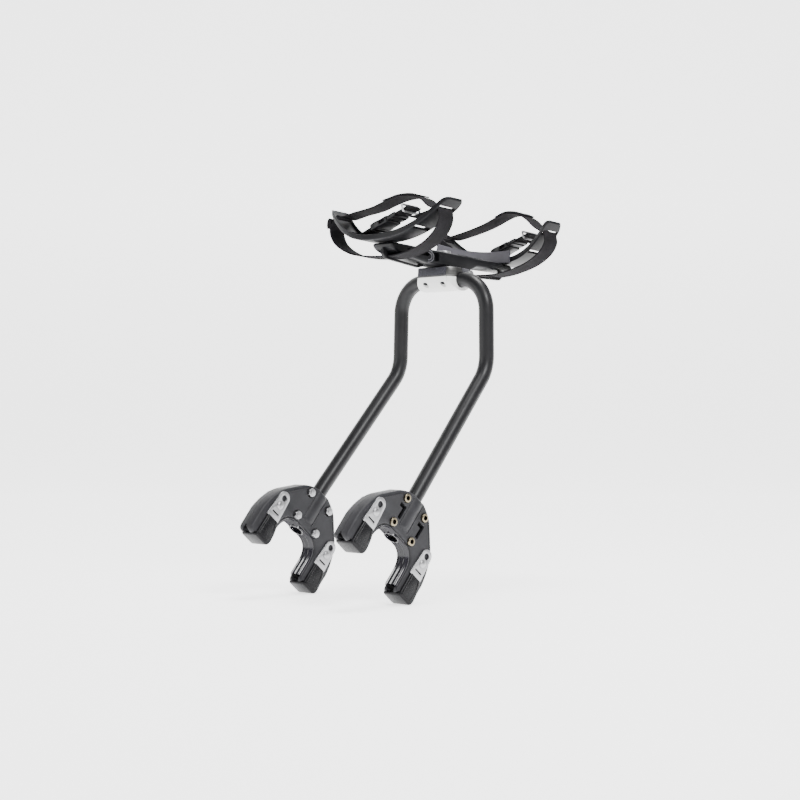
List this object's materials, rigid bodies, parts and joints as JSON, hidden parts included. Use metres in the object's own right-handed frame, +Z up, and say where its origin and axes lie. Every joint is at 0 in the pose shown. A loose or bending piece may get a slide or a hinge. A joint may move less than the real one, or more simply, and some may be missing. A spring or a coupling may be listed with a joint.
{
  "type": "bar-mounted ski carrier",
  "caption": "Ski carrier: a bent tube frame with two bar-gripping claws below, and a tilting, swivelling cradle of two strapped arms on top.",
  "frame": {"origin": "middle of the gripped bar, halfway between the two claws", "axes": "+X along the gripped bar, +Y to the rear, +Z up"},
  "size_m": [0.204, 0.3896, 0.4891],
  "materials": {
    "tube": "satin black powder coat",
    "shell": "moulded grey nylon, fine texture",
    "liner": "glossy moulded rubber",
    "boot": "glossy rubber",
    "steel": "stainless, tumbled",
    "zinc": "yellow-white zinc plate",
    "white": "white moulded plastic",
    "alloy": "satin machined aluminium",
    "badge": "textured charcoal cover",
    "jaw": "grey moulded nylon",
    "cradle": "satin black moulded nylon",
    "wall": "grey moulded nylon",
    "webbing": "charcoal polyester webbing",
    "buckle": "black acetal"
  },
  "bodies": {
    "frame": {"frame_tube": "tube", "left_outer_shell": "shell", "left_inner_shell": "shell", "left_throat_liner": "liner", "left_claw_bolt_1": "zinc", "left_claw_bolt_2": "zinc", "left_claw_bolt_3": "zinc", "left_claw_bolt_4": "zinc", "right_outer_shell": "shell", "right_inner_shell": "shell", "right_throat_liner": "liner", "right_claw_bolt_1": "zinc", "right_claw_bolt_2": "zinc", "right_claw_bolt_3": "zinc", "right_claw_bolt_4": "zinc"},
    "left_upper_pad": {"left_upper_outer_link": "steel", "left_upper_inner_link": "steel", "left_upper_rivet": "steel", "left_upper_boot": "boot"},
    "left_lower_pad": {"left_lower_outer_link": "steel", "left_lower_inner_link": "steel", "left_lower_rivet": "steel", "left_lower_boot": "boot"},
    "right_upper_pad": {"right_upper_outer_link": "steel", "right_upper_inner_link": "steel", "right_upper_rivet": "steel", "right_upper_boot": "boot"},
    "right_lower_pad": {"right_lower_outer_link": "steel", "right_lower_inner_link": "steel", "right_lower_rivet": "steel", "right_lower_boot": "boot"},
    "head": {"head_lower_shell": "white", "head_front_jaw": "alloy", "head_rear_jaw": "jaw", "head_front_badge": "badge", "head_screw_1": "steel", "head_screw_2": "steel", "jaw_bolt": "steel", "swivel_post": "alloy", "swivel_screw": "steel"},
    "cradle": {"keel": "cradle", "front_arm": "cradle", "rear_arm": "cradle", "rear_side_wall": "wall", "front_under_strap": "webbing", "front_top_strap": "webbing", "front_buckle_strap": "webbing", "front_buckle_socket": "buckle", "front_strap_ring": "steel", "front_anchor_tab": "webbing", "rear_under_strap": "webbing", "rear_top_strap": "webbing", "rear_buckle_strap": "webbing", "rear_buckle_socket": "buckle", "rear_strap_ring": "steel", "rear_anchor_tab": "webbing"},
    "front_tongue": {"front_buckle_tongue": "buckle", "front_tongue_strap": "webbing"},
    "rear_tongue": {"rear_buckle_tongue": "buckle", "rear_tongue_strap": "webbing"}
  },
  "joints": [
    {"name": "left_upper_pad_pivot", "type": "hinge", "parent": "frame", "child": "left_upper_pad", "pos_m": [-0.0834, -0.01854, 0.05528], "axis": [1, 0, 0], "range_deg": [-1.5, 1.5]},
    {"name": "left_lower_pad_pivot", "type": "hinge", "parent": "frame", "child": "left_lower_pad", "pos_m": [-0.0834, 0.0575, -0.00966], "axis": [1, 0, 0], "range_deg": [-1.5, 1.5]},
    {"name": "right_upper_pad_pivot", "type": "hinge", "parent": "frame", "child": "right_upper_pad", "pos_m": [0.0834, -0.01854, 0.05528], "axis": [1, 0, 0], "range_deg": [-1.5, 1.5]},
    {"name": "right_lower_pad_pivot", "type": "hinge", "parent": "frame", "child": "right_lower_pad", "pos_m": [0.0834, 0.0575, -0.00966], "axis": [1, 0, 0], "range_deg": [-1.5, 1.5]},
    {"name": "head_tilt", "type": "hinge", "parent": "frame", "child": "head", "pos_m": [0, 0.195, 0.3346], "axis": [1, 0, 0], "range_deg": [-20, 20]},
    {"name": "cradle_swivel", "type": "hinge", "parent": "head", "child": "cradle", "pos_m": [0, 0.19626, 0.35055], "axis": [0, 0.0785, 0.9969], "range_deg": [-90, 90]},
    {"name": "front_buckle_release", "type": "slide", "parent": "cradle", "child": "front_tongue", "axis": [0.9397, 0.0268, 0.341], "range_m": [0, 0.01]},
    {"name": "rear_buckle_release", "type": "slide", "parent": "cradle", "child": "rear_tongue", "axis": [0.9397, 0.0268, 0.341], "range_m": [0, 0.01]}
  ]
}
